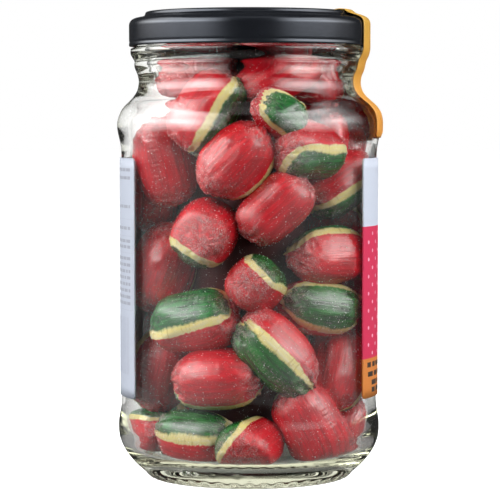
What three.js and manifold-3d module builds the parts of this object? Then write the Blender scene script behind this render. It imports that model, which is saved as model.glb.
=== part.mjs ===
// A screw-lid glass jar filled to the neck with boiled sweets, sealed with a paper strip.
// Millimetres, +Z up, the jar's foot on z = 0 and its axis on the Z axis.
// The photo looks along +Y, so azimuths are measured from -Y towards +X.
import * as THREE from 'three';
import { mergeVertices } from 'three/addons/utils/BufferGeometryUtils.js';
import Module from 'manifold-3d';

const wasm = await Module();
wasm.setup();

// ---- driving sizes ----
const GLASS_SIDES = 42;
const LID_SIDES = 36;
const WELD = 1e-4;

const RING_INNER = 25.4;
const RING_OUTER = 27.0;
const HEEL_HEIGHT = 15.7;
const HEEL_BULGE = 9.4;
const PANEL_RADIUS = 35.35;

const SKIRT_RADIUS = 33.2;
const SKIRT_BOTTOM = 119.3;
const SHEET = 0.6;
const BEAD_TOP = 128.8;
const PANEL_TOP = 128.2;
const BUTTON_RADIUS = 11;
const BUTTON_RISE = 0.25;

const PAPER = 0.25;
const LABEL_RADIUS = 35.73;
const LABEL_TOP = 88.6;
const LABEL_CORNER = 1.1;
const FRONT_LABEL = { from: 60, to: 177, bottom: 23.2 };
const INFO_LABEL = { from: -175, to: -60.3, bottom: 23.1 };
const LABEL_COLUMNS = 24;

const STRIP_WIDTH = 24.5;
const STRIP_CORNER = 2.4;
const STRIP_COLUMNS = 6;
const STRIP_FOLD = 27;
const STRIP_FLAT = 8;

const SWEET_LENGTH = 24.5;
const SWEET_WIDTH = 17.3;
const SWEET_DEPTH = 16.5;
const SWEET_SQUARENESS = 0.82;
const SWEET_SIDES = 8;
const SWEET_RINGS = 5;
const BALL_RADIUS = 8.4;
const BALL_SPACING = 3.85;
const SWEET_DETAIL = 0.2;
const WALL_GAP = 0.35;
const FLOOR_RISE = 12;
const FILL_BOTTOM = 5.8;
const FILL_TOP = 121.5;

const CAMERA_DISTANCE = 653;
const CAMERA_HEIGHT = 97.6;

// ---- the glass: radius and height, up the outside and down the inside ----
const heelRadius = (z) => {
  const drop = (HEEL_HEIGHT - z) / HEEL_HEIGHT;
  return RING_OUTER + HEEL_BULGE * (1 - drop ** 2.5) ** 1.1;
};

const GLASS_OUTSIDE = [
  [0, 2.6], [14, 2.2], [23, 0.9], [RING_INNER, 0], [RING_OUTER, 0],
  ...[1.2, 3.2, 5.8, 9.2, 12.4, HEEL_HEIGHT].map((z) => [heelRadius(z), z]),
  [36.0, 17.8], [PANEL_RADIUS, 20.6], [PANEL_RADIUS, 93.0],
  [36.2, 94.3], [36.7, 95.9], [36.75, 98.2], [36.3, 100.5], [35.1, 102.3],
  [33.3, 103.9], [31.8, 105.6], [30.8, 107.5], [30.5, 109.6], [30.9, 111.6],
  [31.7, 113.9], [32.1, 115.9], [32.8, 117.4], [32.7, 118.6],
  [31.0, 119.2], [31.0, 124.3], [30.3, 125.5], [29.2, 125.9],
];

const GLASS_INSIDE = [
  [28.1, 125.6], [27.5, 124.2], [27.5, 112.5], [27.8, 110.0], [28.4, 107.4], [29.7, 105.0],
  [31.4, 103.0], [33.2, 101.2], [34.3, 99.4], [34.7, 97.4], [34.5, 95.4], [33.9, 93.4],
  [33.4, 91.6], [33.4, 21.0], [33.9, 18.6], [34.2, 16.0], [33.9, 13.0], [32.7, 10.0],
  [30.6, 7.6], [27.5, 6.0], [22.0, 5.3], [12.0, 5.2], [0, 5.5],
];

// ---- the lid: sheet metal, outside then inside ----
const LID_OUTSIDE = [
  [SKIRT_RADIUS, SKIRT_BOTTOM], [SKIRT_RADIUS, 125.2], [32.8, 126.2], [31.8, 126.9],
  [29.3, 127.5], [28.8, 127.9], [28.7, 128.5], [28.3, BEAD_TOP], [27.5, BEAD_TOP],
  [26.8, PANEL_TOP + 0.1], [26.0, PANEL_TOP], [BUTTON_RADIUS + 1, PANEL_TOP],
  [BUTTON_RADIUS, PANEL_TOP + BUTTON_RISE], [0, PANEL_TOP + BUTTON_RISE],
];

const LID_INSIDE = [
  [0, PANEL_TOP - SHEET], [26.4, PANEL_TOP - SHEET], [28.2, 127.1], [31.3, 126.35],
  [32.4, 125.7], [SKIRT_RADIUS - SHEET, 125.0], [SKIRT_RADIUS - SHEET, 120.4],
  [SKIRT_RADIUS - SHEET - 0.25, 120.0], [SKIRT_RADIUS - SHEET - 0.25, 119.5],
  [SKIRT_RADIUS - SHEET, SKIRT_BOTTOM],
];

// ---- the paper strip's run: radius and height of its mid-thickness, from the lid's top down ----
const STRIP_PATH = [
  [1.5, 128.85], [2.2, 128.85], [3.9, 128.85], [13, 128.85], [20, 128.85], [25.4, 128.75],
  [27.3, 129.2], [28.6, 129.2], [29.4, 128.5],
  [31.9, 127.7], [33.1, 126.9], [33.65, 125.6], [33.65, 119.0], [33.3, 117.1], [32.5, 115.3],
  [31.9, 112.8], [31.15, 110.7], [31.0, 109.2], [31.35, 107.4], [32.3, 105.8], [33.75, 104.4],
  [35.5, 102.8], [36.75, 100.8], [37.2, 98.3], [37.15, 95.8], [36.9, 94.9], [36.6, 94.1],
];

// ---- the sweets that show ----
// Across and up from the jar's foot as the photo shows them in the axis plane, the tilt of
// the long axis from the horizontal, its turn away from the picture plane, the inset of the
// centre from where a sweet touches the wall, in millimetres and degrees, and its size as a
// share of the full one.
const SEEN_SWEETS = [
  [-11.0, 101.8, 58, 0, 0, 1], [-23.0, 87.6, 105, 0, 0, 1], [-3.1, 87.9, 48, 0, 0, 1],
  [7.2, 74.5, 42, 5, 0, 0.97], [8.4, 100.2, -30, 40, 4, 0.68], [23.6, 102.6, -40, 20, 2, 1],
  [22.8, 93.8, 75, 40, 3, 0.56], [15.9, 90.6, 0, 50, 3, 0.95], [26.8, 91.2, 80, 60, 2, 0.7],
  [24.6, 81.6, 33, 25, 0, 0.95], [-11.7, 67.9, -12, -97, 0, 1.04], [-23.6, 57.9, 72, 0, 0, 1],
  [-26.1, 76.4, 80, -60, 0, 0.8], [21.1, 61.5, 0, 35, 0, 0.92], [2.2, 53.0, -10, 80, 5, 0.9],
  [18.6, 46.9, -8, 25, 1, 0.95], [-14.8, 42.9, 14, -22, 0, 0.97], [8.0, 34.0, -45, 5, 0, 1],
  [25.6, 43.0, 80, 60, 6, 0.8], [-24.4, 29.6, 72, -50, 0, 1], [-8.0, 26.8, 3, -14, 0, 1.03],
  [24.6, 30.0, 75, 50, 0, 0.95], [17.2, 13.4, -60, 20, 0, 1.08], [26.6, 12.8, 75, 60, 0, 0.8],
  [-27.0, 12.2, 6, -62, 0, 0.78], [-14.4, 10.4, -4, -25, 1, 0.93], [0.8, 7.8, 8, 65, 2, 0.93],
  [-14.5, 113.0, 25, -15, 2, 0.95], [7.0, 112.0, 35, 0, 1, 1], [18.5, 111.5, -70, 40, 1, 0.9],
];

// ---- solids from and back to three.js geometry ----
function solidOf(geometry) {
  const bare = geometry.clone();
  bare.deleteAttribute('normal');
  bare.deleteAttribute('uv');
  const welded = mergeVertices(bare, WELD);
  const corners = welded.index.array;
  const triVerts = [];
  for (let i = 0; i < corners.length; i += 3) {
    const [a, b, c] = [corners[i], corners[i + 1], corners[i + 2]];
    if (a !== b && b !== c && c !== a) triVerts.push(a, b, c);
  }
  return new wasm.Manifold(new wasm.Mesh({
    numProp: 3,
    vertProperties: Float32Array.from(welded.attributes.position.array),
    triVerts: Uint32Array.from(triVerts),
  }));
}

function geometryOf(solid) {
  const mesh = solid.getMesh();
  const geometry = new THREE.BufferGeometry();
  geometry.setAttribute('position', new THREE.BufferAttribute(mesh.vertProperties, 3));
  geometry.setIndex(new THREE.BufferAttribute(mesh.triVerts, 1));
  geometry.computeVertexNormals();
  return geometry;
}

// A solid's shell of the most triangles alone, so that sealed hollows are filled and loose
// scraps dropped.
function outerShell(solid) {
  const mesh = solid.getMesh();
  const corners = mesh.triVerts;
  const root = Array.from({ length: mesh.vertProperties.length / 3 }, (_, i) => i);
  const find = (start) => {
    let at = start;
    while (root[at] !== at) at = root[at];
    root[start] = at;
    return at;
  };
  for (let i = 0; i < corners.length; i += 3) {
    root[find(corners[i + 1])] = find(corners[i]);
    root[find(corners[i + 2])] = find(corners[i]);
  }
  const count = new Map();
  for (const corner of corners) count.set(find(corner), (count.get(find(corner)) ?? 0) + 1);
  const [largest] = [...count].reduce((best, shell) => (shell[1] > best[1] ? shell : best));
  return new wasm.Manifold(new wasm.Mesh({
    numProp: 3,
    vertProperties: mesh.vertProperties,
    triVerts: corners.filter((_, i) => find(corners[i - (i % 3)]) === largest),
  }));
}

// A closed profile turned about the Z axis.
function turned(profile, sides) {
  const points = profile.map(([r, z]) => new THREE.Vector2(r, z));
  const first = points[0];
  if (first.x > 0) points.push(first.clone());
  return new THREE.LatheGeometry(points, sides).rotateX(Math.PI / 2);
}

// ---- paper ----
// How far a sheet's long edge draws in near its end, for a rounded corner.
function cornerInset(fromEnd, corner) {
  if (fromEnd >= corner) return 0;
  return corner - Math.sqrt(corner ** 2 - (corner - fromEnd) ** 2);
}

// Stations along a sheet: three close ones at each end for the corner, even ones between.
function stations(length, corner, columns) {
  const inner = Array.from(
    { length: columns - 3 },
    (_, i) => corner + ((length - 2 * corner) * i) / (columns - 4),
  );
  return [0, 0.3 * corner, ...inner, length - 0.3 * corner, length];
}

// A label: a flat sheet with rounded corners bent round the jar's panel.
function label({ from, to, bottom }) {
  const columns = LABEL_COLUMNS;
  const length = THREE.MathUtils.degToRad(to - from) * LABEL_RADIUS;
  const height = LABEL_TOP - bottom;
  const at = stations(length, LABEL_CORNER, columns);
  const sheet = new THREE.BoxGeometry(columns, height, PAPER, columns, 1, 1);
  const position = sheet.attributes.position;
  for (let i = 0; i < position.count; i += 1) {
    const along = at[Math.round(position.getX(i) + columns / 2)];
    const fromEnd = Math.min(along, length - along);
    const half = height / 2 - cornerInset(fromEnd, LABEL_CORNER);
    const azimuth = THREE.MathUtils.degToRad(from) + along / LABEL_RADIUS;
    const radius = LABEL_RADIUS + position.getZ(i);
    const z = bottom + height / 2 + Math.sign(position.getY(i)) * half;
    position.setXYZ(i, radius * Math.sin(azimuth), -radius * Math.cos(azimuth), z);
  }
  return sheet;
}

// The seal strip: a sheet that follows STRIP_PATH down the +X side and bends round the jar.
function sealStrip() {
  const path = STRIP_PATH.map(([r, z]) => new THREE.Vector2(r, z));
  const rows = path.length - 1;
  const normals = path.map((_, i) => {
    const ahead = path[Math.min(i + 1, rows)];
    const behind = path[Math.max(i - 1, 0)];
    const run = ahead.clone().sub(behind).normalize();
    return new THREE.Vector2(-run.y, run.x);
  });
  const runs = [0];
  for (let i = 1; i <= rows; i += 1) runs.push(runs[i - 1] + path[i].distanceTo(path[i - 1]));
  const sheet = new THREE.BoxGeometry(rows, STRIP_WIDTH, PAPER, rows, STRIP_COLUMNS, 1);
  const position = sheet.attributes.position;
  for (let i = 0; i < position.count; i += 1) {
    const row = Math.round(position.getX(i) + rows / 2);
    const fromEnd = Math.min(runs[row], runs[rows] - runs[row]);
    const half = STRIP_WIDTH / 2 - cornerInset(fromEnd, STRIP_CORNER);
    const across = position.getY(i) * (half / (STRIP_WIDTH / 2));
    const spot = path[row].clone().addScaledVector(normals[row], position.getZ(i));
    const bend = Math.max(spot.x, STRIP_FOLD);
    const flatness = THREE.MathUtils.smoothstep(spot.x, STRIP_FLAT, STRIP_FOLD);
    const fallBack = (bend - Math.sqrt(bend ** 2 - across ** 2)) * flatness;
    position.setXYZ(i, spot.x - fallBack, across, spot.y);
  }
  return sheet;
}

// ---- where the sweets lie ----
// The jar's inner radius at a height, less the gap that sweets keep from the glass.
function roomRadius(z) {
  const wall = GLASS_INSIDE.slice(0, -1);
  for (let i = 1; i < wall.length; i += 1) {
    const [highR, highZ] = wall[i - 1];
    const [lowR, lowZ] = wall[i];
    if (z >= lowZ) {
      const share = Math.min((z - lowZ) / (highZ - lowZ), 1);
      return lowR + (highR - lowR) * share - WALL_GAP;
    }
  }
  return wall.at(-1)[0] - WALL_GAP;
}

let seed = 20117;
function random() {
  seed = (Math.imul(seed, 1664525) + 1013904223) >>> 0;
  return seed / 4294967296;
}

// A direction with a tilt above the horizontal and a turn away from the picture plane.
function direction(tilt, turn) {
  const [up, yaw] = [tilt, turn].map(THREE.MathUtils.degToRad);
  return new THREE.Vector3(Math.cos(up) * Math.cos(yaw), Math.cos(up) * Math.sin(yaw), Math.sin(up));
}

const SEEN_SPACING = 15.2;
const FILL_SPACING = 15.8;
const FILL_TRIES = 9000;
// The jar's left shoulder holds no sweets: a fill sweet left of this side is below this height.
const BARE_SIDE = -13;
const BARE_HEIGHT = 86;

// The sweets that show, put on their lines of sight, then the rest wherever there is room.
function startingHeap() {
  const heap = SEEN_SWEETS.map(([across, up, tilt, turn, inset, size]) => {
    const centre = new THREE.Vector3();
    for (let step = 0; step < 20; step += 1) {
      const near = (CAMERA_DISTANCE + centre.y) / CAMERA_DISTANCE;
      centre.x = across * near;
      centre.z = CAMERA_HEIGHT + (up - CAMERA_HEIGHT) * near;
      const reach = roomRadius(centre.z) - BALL_RADIUS * size - inset;
      centre.y = -Math.sqrt(Math.max(reach ** 2 - centre.x ** 2, 1));
    }
    const eye = new THREE.Vector3(0, -CAMERA_DISTANCE, CAMERA_HEIGHT);
    const line = centre.clone().sub(eye).normalize();
    return { centre, axis: direction(tilt, turn), line, start: centre.clone(), size };
  });
  for (let n = 0; n < FILL_TRIES; n += 1) {
    const z = FILL_BOTTOM + BALL_RADIUS + random() * (FILL_TOP - FILL_BOTTOM - 2 * BALL_RADIUS);
    const reach = roomRadius(z) - BALL_RADIUS;
    const radius = reach * (random() < 0.7 ? 1 : random() * 0.5);
    const azimuth = 2 * Math.PI * random();
    const tilt = random() * 180;
    const turn = random() * 180;
    const centre = new THREE.Vector3(radius * Math.sin(azimuth), -radius * Math.cos(azimuth), z);
    const bare = centre.x < BARE_SIDE && centre.z > BARE_HEIGHT;
    const clear = !bare && heap.every((other) => {
      const spacing = other.line ? SEEN_SPACING : FILL_SPACING;
      return other.centre.distanceTo(centre) > spacing;
    });
    if (clear) heap.push({ centre, axis: direction(tilt, turn), line: null, size: 1 });
  }
  return heap;
}

const SETTLE_STEPS = 160;
const SETTLE_SHIFT = 0.3;
const SETTLE_TURN = 0.5;
const SETTLE_HOLD = 0.5;

// Each sweet is three balls in a row; balls of two sweets push apart, the walls push in.
// A seen sweet keeps its axis, slides only along its line of sight, and a spring holds it
// near its start.
function settle(heap) {
  const ends = [-1, 0, 1];
  for (let step = 0; step < SETTLE_STEPS; step += 1) {
    const balls = heap.flatMap((sweet, owner) => ends.map((end) => ({
      owner,
      end,
      at: sweet.centre.clone().addScaledVector(sweet.axis, end * BALL_SPACING * sweet.size),
      radius: BALL_RADIUS * sweet.size,
      push: new THREE.Vector3(),
    })));
    for (const ball of balls) {
      for (const other of balls) {
        const apart = ball.at.distanceTo(other.at);
        const overlap = ball.radius + other.radius - apart;
        if (ball.owner !== other.owner && overlap > 0) {
          const away = ball.at.clone().sub(other.at).divideScalar(Math.max(apart, 0.01));
          ball.push.addScaledVector(away, overlap / 2);
        }
      }
      const radius = Math.hypot(ball.at.x, ball.at.y);
      const out = Math.max(radius - (roomRadius(ball.at.z) - ball.radius), 0);
      ball.push.x -= (out * ball.at.x) / Math.max(radius, 0.01);
      ball.push.y -= (out * ball.at.y) / Math.max(radius, 0.01);
      ball.push.z += Math.max(FILL_BOTTOM + ball.radius - ball.at.z, 0);
      ball.push.z -= Math.max(ball.at.z - (FILL_TOP - ball.radius), 0);
    }
    heap.forEach((sweet, owner) => {
      const [tail, middle, head] = balls.slice(ends.length * owner);
      const shift = tail.push.clone().add(middle.push).add(head.push);
      if (sweet.line) {
        shift.addScaledVector(sweet.start.clone().sub(sweet.centre), SETTLE_HOLD);
        shift.copy(sweet.line.clone().multiplyScalar(shift.dot(sweet.line)));
      } else {
        const twist = head.push.clone().sub(tail.push);
        sweet.axis.addScaledVector(twist, (SETTLE_TURN * SETTLE_SHIFT) / BALL_SPACING).normalize();
      }
      sweet.centre.addScaledVector(shift, SETTLE_SHIFT);
    });
  }
  return heap;
}

// One boiled sweet: a squared-off pillow with its long axis along the given direction.
function sweetSolid({ centre, axis, size }, index) {
  const pillow = new THREE.SphereGeometry(1, SWEET_SIDES, SWEET_RINGS);
  const position = pillow.attributes.position;
  const squared = (value) => Math.sign(value) * Math.abs(value) ** SWEET_SQUARENESS;
  for (let i = 0; i < position.count; i += 1) {
    position.setXYZ(
      i,
      (squared(position.getX(i)) * size * SWEET_WIDTH) / 2,
      (squared(position.getY(i)) * size * SWEET_LENGTH) / 2,
      (squared(position.getZ(i)) * size * SWEET_DEPTH) / 2,
    );
  }
  const roll = new THREE.Quaternion().setFromAxisAngle(new THREE.Vector3(0, 1, 0), index * 2.4);
  const aim = new THREE.Quaternion().setFromUnitVectors(new THREE.Vector3(0, 1, 0), axis);
  pillow.applyQuaternion(aim.multiply(roll));
  pillow.translate(centre.x, centre.y, centre.z);
  return solidOf(pillow);
}

const CORE = [[0, 9], [17, 9], [22, 16], [22, 88], [15, 101], [15, 112], [0, 112]];

// The heap: the sweets fused on a smaller core, kept within the jar's room.
function sweets() {
  const heap = settle(startingHeap());
  const fused = heap.map(sweetSolid).reduce((sum, sweet) => sum.add(sweet), solidOf(turned(CORE, 12)));
  const lift = (z) => (z < FLOOR_RISE ? WALL_GAP : 0);
  const wall = GLASS_INSIDE.slice(1).map(([r, z]) => [Math.max(r - WALL_GAP, 0), z + lift(z)]);
  const room = [...wall.reverse(), [0, GLASS_INSIDE[1][1]]];
  const inside = outerShell(fused.intersect(solidOf(turned(room, GLASS_SIDES))));
  return geometryOf(outerShell(inside.simplify(SWEET_DETAIL)));
}

// ---- the part ----
const PAINT = {
  jar_glass: { color: 0xdfe8e4, roughness: 0.05, transparent: true, opacity: 0.35 },
  lid: { color: 0x0b0c0e, roughness: 0.3, metalness: 0.4 },
  sweets: { color: 0xb81e30, roughness: 0.45 },
  front_label: { color: 0xd84a6c, roughness: 0.6 },
  info_label: { color: 0xdde3ea, roughness: 0.6 },
  seal_strip: { color: 0xe0a050, roughness: 0.6 },
};

const GEOMETRY = {
  jar_glass: turned([...GLASS_OUTSIDE, ...GLASS_INSIDE], GLASS_SIDES),
  lid: turned([...LID_INSIDE, ...LID_OUTSIDE], LID_SIDES),
  sweets: sweets(),
  front_label: label(FRONT_LABEL),
  info_label: label(INFO_LABEL),
  seal_strip: sealStrip(),
};

const part = new THREE.Group();
part.name = 'boiled_sweets_jar';
for (const [name, geometry] of Object.entries(GEOMETRY)) {
  const mesh = new THREE.Mesh(geometry, new THREE.MeshStandardMaterial(PAINT[name]));
  mesh.name = name;
  part.add(mesh);
}

export default part;
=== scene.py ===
"""A screw-lid glass jar of boiled sweets, dressed over its CAD frame.

Written as an add-on: property groups hold the sizes and colours, each operator makes one
group of pieces, and main calls them in order. Helper functions work in millimetres in the
frame's own axes (+Z up, the jar's axis on Z, the photo looks along +Y), and a mesh gets
metres when it is made. Azimuths run from -Y towards +X.
"""
import math

import bpy
import numpy as np
from bpy.props import FloatProperty, FloatVectorProperty, IntProperty, PointerProperty
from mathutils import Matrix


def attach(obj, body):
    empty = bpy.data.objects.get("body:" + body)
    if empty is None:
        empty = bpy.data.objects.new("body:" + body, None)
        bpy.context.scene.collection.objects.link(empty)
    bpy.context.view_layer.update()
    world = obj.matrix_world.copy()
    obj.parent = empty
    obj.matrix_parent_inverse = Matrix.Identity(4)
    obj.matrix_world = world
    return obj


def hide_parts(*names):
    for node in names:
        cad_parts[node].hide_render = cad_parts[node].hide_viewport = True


bl_info = {
    "name": "Jar of Boiled Sweets",
    "version": (1, 0, 0),
    "blender": (4, 5, 0),
    "location": "3D View > Sidebar > Sweet Jar",
    "description": "Builds a glass jar of boiled sweets over its packed frame",
    "category": "Object",
}

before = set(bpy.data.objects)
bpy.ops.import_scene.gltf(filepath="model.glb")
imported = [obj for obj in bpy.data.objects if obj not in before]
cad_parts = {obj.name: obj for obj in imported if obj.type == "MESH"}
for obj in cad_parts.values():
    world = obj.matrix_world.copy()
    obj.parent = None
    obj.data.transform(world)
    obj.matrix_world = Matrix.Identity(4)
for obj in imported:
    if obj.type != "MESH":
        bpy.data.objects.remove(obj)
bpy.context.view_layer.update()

MM = 0.001
BODY = "root"

# ---- sizes shared with the solids, in millimetres ----
RING_OUTER = 27.0
HEEL_HEIGHT = 15.7
HEEL_BULGE = 9.4
PANEL_RADIUS = 35.35
SKIRT_RADIUS = 33.2
SKIRT_BOTTOM = 119.3
SHEET = 0.6
BEAD_TOP = 128.8
PANEL_TOP = 128.2
BUTTON_RADIUS = 11.0
BUTTON_RISE = 0.25
LABEL_TOP = 88.6
STRIP_WIDTH = 24.5
BALL_RADIUS = 8.4
BALL_SPACING = 3.85
WALL_GAP = 0.35
FILL_BOTTOM = 5.8
FILL_TOP = 121.5
CAMERA_DISTANCE = 653.0
CAMERA_HEIGHT = 97.6


def heel_radius(z):
    """Radius of the rounded heel: the foot ring plus a bulge that falls away with the drop to the power 2.5."""
    drop = (HEEL_HEIGHT - z) / HEEL_HEIGHT
    return RING_OUTER + HEEL_BULGE * (1 - drop**2.5) ** 1.1


GLASS_OUTSIDE = [
    (0, 2.6), (14, 2.2), (23, 0.9), (25.4, 0.05), (26.2, 0.0), (RING_OUTER, 0.05),
    *[(heel_radius(z), z) for z in (0.6, 1.2, 2.1, 3.2, 4.4, 5.8, 7.4, 9.2, 11.0, 12.4, 14.0, HEEL_HEIGHT)],
    (36.3, 16.6), (36.05, 17.4), (35.6, 18.0), (35.4, 18.6), (PANEL_RADIUS, 19.6), (PANEL_RADIUS, 93.0),
    (36.2, 94.3), (36.7, 95.9), (36.75, 98.2), (36.65, 99.3), (36.1, 100.7), (35.1, 102.2),
    (33.3, 103.9), (31.8, 105.6), (30.8, 107.5), (30.5, 109.6), (30.9, 111.6),
    (31.7, 113.7), (31.75, 114.4), (31.6, 114.9), (32.1, 115.9), (32.8, 117.4), (32.7, 118.6),
    (31.0, 119.2), (31.0, 124.3), (30.3, 125.5), (29.2, 125.9),
]
GLASS_INSIDE = [
    (28.1, 125.6), (27.5, 124.2), (27.5, 112.5), (27.8, 110.0), (28.4, 107.4), (29.7, 105.0), (31.4, 103.0),
    (33.2, 101.2), (34.3, 99.4), (34.7, 97.4), (34.5, 95.4), (33.9, 93.4), (33.4, 91.6), (33.4, 21.0),
    (33.9, 18.6), (34.2, 16.0), (33.9, 13.0), (32.7, 10.0), (30.6, 7.6), (27.5, 6.0), (22.0, 5.3),
    (12.0, 5.2), (0, 5.5),
]
RING_BEADS = 44
BEAD_RISE = 0.5
HEEL_BUMPS = [(-27.5, 6.5), (-26.2, 6.5), (-16.8, 4.8), (-14.6, 4.5), (-9.6, 4.2), (-3.2, 4.0)]
BUMP_RISE = 0.3
LID_OUTSIDE = [
    (SKIRT_RADIUS - 0.1, SKIRT_BOTTOM), (SKIRT_RADIUS, SKIRT_BOTTOM + 0.15), (SKIRT_RADIUS, 119.9),
    (SKIRT_RADIUS - 0.12, 120.3), (SKIRT_RADIUS - 0.02, 120.8), (SKIRT_RADIUS, 125.0), (33.05, 125.7),
    (32.7, 126.3), (31.9, 126.85), (29.3, 127.5), (28.85, 127.8), (28.7, 128.3), (28.5, 128.65),
    (28.0, BEAD_TOP), (27.4, 128.7), (26.8, PANEL_TOP + 0.1), (26.0, PANEL_TOP),
    (BUTTON_RADIUS + 1, PANEL_TOP), (BUTTON_RADIUS, PANEL_TOP + BUTTON_RISE), (0, PANEL_TOP + BUTTON_RISE),
]
LID_INSIDE = [
    (0, PANEL_TOP - SHEET), (26.4, PANEL_TOP - SHEET), (28.2, 127.1), (31.3, 126.35),
    (32.4, 125.7), (SKIRT_RADIUS - SHEET, 125.0), (SKIRT_RADIUS - SHEET, 120.4),
    (SKIRT_RADIUS - SHEET - 0.25, 120.0), (SKIRT_RADIUS - SHEET - 0.25, 119.5),
    (SKIRT_RADIUS - 0.3, SKIRT_BOTTOM),
]
STRIP_PATH = [
    (1.5, 128.85), (13, 128.85), (25.4, 128.8), (27.4, 129.15), (28.6, 129.1), (29.4, 128.4),
    (31.9, 127.5), (33.0, 126.8), (33.5, 125.6), (33.5, 119.0), (33.2, 117.1), (32.4, 115.3),
    (31.8, 112.8), (31.0, 110.7), (30.85, 109.2), (31.2, 107.4), (32.15, 105.8), (33.6, 104.4),
    (35.35, 102.8), (36.6, 100.8), (37.05, 98.3), (37.0, 95.8), (36.7, 94.9), (36.4, 94.1),
]

# ---- the sweets that show ----
# Across and up from the jar's foot as the photo shows them in the axis plane, the tilt of
# the long axis from the horizontal, its turn away from the picture plane, the inset from
# where a sweet touches the wall, where its green side faces (0 at the viewer, 90 at the
# right or below, -90 at the left or above, 180 away from the viewer), and its size.
SEEN_SWEETS = [
    (-11.0, 101.8, 58, 0, 0, 66, 1), (-23.0, 87.6, 105, 0, 0, 180, 1),
    (-3.1, 87.9, 48, 0, 0, 128, 1), (7.2, 74.5, 42, 5, 0, 170, 0.97),
    (8.4, 100.2, -30, 40, 4, -20, 0.68), (23.6, 102.6, -40, 20, 2, 180, 1),
    (22.8, 93.8, 75, 40, 3, 150, 0.56), (15.9, 90.6, 0, 50, 3, 48, 0.95),
    (26.8, 91.2, 80, 60, 2, 170, 0.7), (24.6, 81.6, 33, 25, 0, 80, 0.95),
    (-11.7, 67.9, -12, -97, 0, 180, 1.04), (-23.6, 57.9, 72, 0, 0, 145, 1),
    (-26.1, 76.4, 80, -60, 0, 180, 0.8), (21.1, 61.5, 0, 35, 0, -113, 0.92),
    (2.2, 53.0, -10, 80, 5, -90, 0.9), (18.6, 46.9, -8, 25, 1, -12, 0.95),
    (-14.8, 42.9, 14, -22, 0, -48, 0.97), (8.0, 34.0, -45, 5, 0, 45, 1),
    (25.6, 43.0, 80, 60, 6, 180, 0.8), (-24.4, 29.6, 72, -50, 0, -120, 1),
    (-8.0, 26.8, 3, -14, 0, 117, 1.03), (24.6, 30.0, 75, 50, 0, 125, 0.95),
    (17.2, 13.4, -60, 20, 0, 180, 1.08), (26.6, 12.8, 75, 60, 0, 180, 0.8),
    (-27.0, 12.2, 6, -62, 0, -97, 0.78), (-14.4, 10.4, -4, -25, 1, -52, 0.93),
    (0.8, 7.8, 8, 65, 2, -125, 0.93), (-14.5, 113.0, 25, -15, 2, 180, 0.95),
    (7.0, 112.0, 35, 0, 1, 150, 1), (18.5, 111.5, -70, 40, 1, 180, 0.9),
]
BLUNT_SWEETS = (0, 16, 22)
SEEN_SPACING = 15.2
FILL_SPACING = 15.8
FILL_TRIES = 9000
BARE_SIDE = -13.0
BARE_HEIGHT = 86.0
SETTLE_STEPS = 160
SETTLE_SHIFT = 0.3
SETTLE_TURN = 0.5
SETTLE_HOLD = 0.5

# ---- sizes and counts of the dressed pieces alone, in millimetres ----
OUTSIDE_STEP, OUTSIDE_EASE, OUTSIDE_ZONES = 0.8, 2.2, [(11, 28), (88, 104)]
INSIDE_STEP, INSIDE_EASE, INSIDE_ZONES = 1.2, 2.6, [(9, 28), (86, 106)]
LID_INSIDE_STEP, LID_OUTSIDE_STEP = 1.0, 0.35
LID_SIDES = 192
OUTER_HEAP = 12.0
SHOWN_GRID, OUTER_GRID, INNER_GRID = (58, 70), (42, 50), (28, 34)
BLUNT_POWER = 2.0
CORE_PROFILE = [
    (0, 10), (12, 11), (16.5, 18), (16.5, 88), (12, 98), (9, 108), (8, 115), (5, 118.5), (0, 119.5),
]
CORE_SIDES = 32
RED_SIDE_FROM, STRIPED_SIDE_FROM = 120, 60
DENT_DEPTH = 0.26
FOLD_DEPTH = 0.20
COMB_WIDTH, COMB_DEPTH = 0.17, 0.05
VALLEY_WIDTH, VALLEY_DEPTHS = 0.16, [0.0, 0.3, 0.6]
SOFT_STOP = 0.3
SUGAR_GAP = 0.12
CRUMB_SIZES = (0.03, 0.15)
CRUMB_RADIUS = 24.0
CRUMB_SCATTER = 0.08
DUST_SIZES = (0.03, 0.10)
DUST_HEIGHTS = (9, 118)
DUST_DEPTHS = (0.1, 0.35)
FILM_TOP = 122.0
LABEL_FACE = 35.85
LABEL_BACK = PANEL_RADIUS + 0.02
LABEL_CORNER = 1.1
FRONT_LABEL = (60.0, 177.0, 23.2)
INFO_LABEL = (-175.0, -60.3, 23.1)
PRINT_FACE = LABEL_FACE + 0.02
PRINT_DEPTH = 0.03
DOT_SIDES = 10
DOT_RADIUS = 0.52
DOT_PITCH = 4.67
DOT_COLUMNS = (FRONT_LABEL[0] + 5.2, FRONT_LABEL[1] - 3, 5.0)
DOT_ROWS = (35.4, 69.6, DOT_PITCH)
DOT_TOP = 69.4
RULE_HEIGHTS = (72.0, 67.4, 62.8, 47.2)
BAR_HEIGHTS = (85.0, 82.8, 75.0, 69.1, 65.6, 64.0)
FOOT_ROWS = ((31.6, 64.0), (29.0, 64.8), (26.6, 69.5), (24.6, 69.5))
STRIP_STEP = 0.7
STRIP_CORNER = 2.0
STRIP_COLUMNS = 31
STRIP_HALF_THICKNESS = 0.10
STRIP_FLAT, STRIP_FOLD = 8.0, 27.0

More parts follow.
